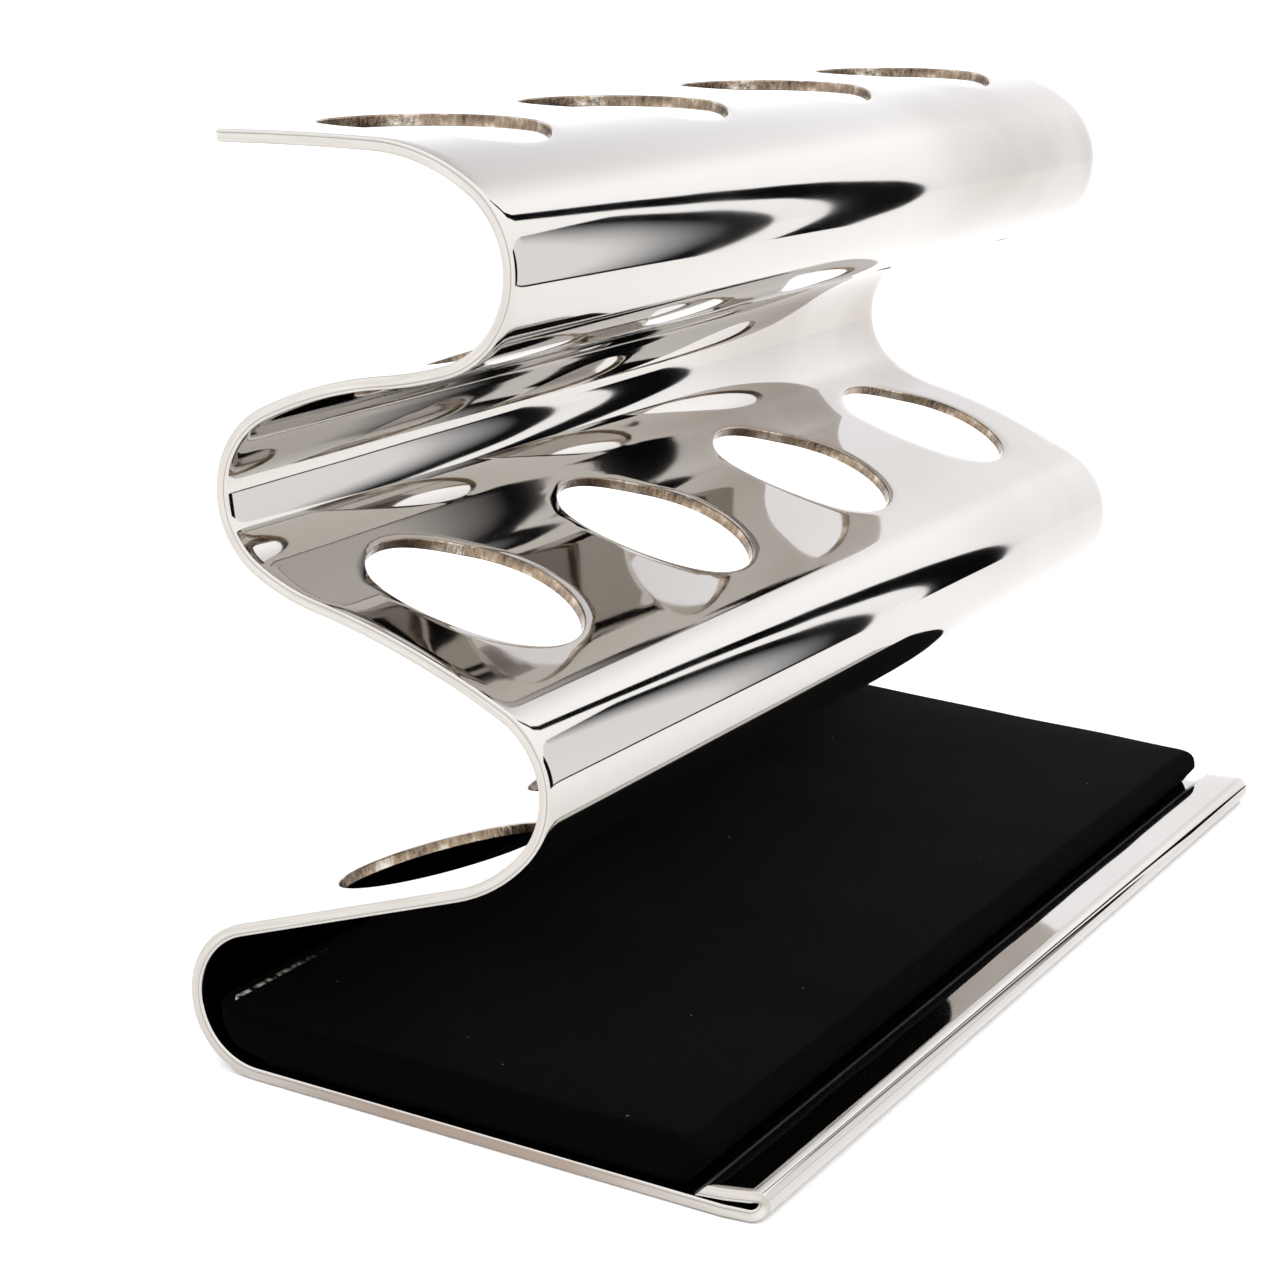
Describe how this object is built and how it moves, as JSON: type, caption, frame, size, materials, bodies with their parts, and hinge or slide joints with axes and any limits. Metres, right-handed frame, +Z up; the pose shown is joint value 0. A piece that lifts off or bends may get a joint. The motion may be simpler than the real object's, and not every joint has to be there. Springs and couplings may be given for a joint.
{
  "type": "razor stand",
  "caption": "Free-standing razor stand: one polished steel sheet folded into a wave of pierced shelves over a hemmed base with a black velour mat",
  "frame": {"origin": "middle of the bounding box's underside, on the surface the stand rests on", "axes": "+X along the width of the folded strip, -Y toward the hemmed front edge, +Z up"},
  "size_m": [0.25, 0.1048, 0.1497],
  "materials": {
    "polished_steel": "mirror-polished steel sheet with satin cut edges",
    "mat_foam": "black closed-cell foam",
    "mat_velour": "black velour, short matt pile"
  },
  "bodies": {
    "root": {"strip": "polished_steel", "mat_core": "mat_foam", "mat_facing": "mat_velour"}
  },
  "joints": []
}
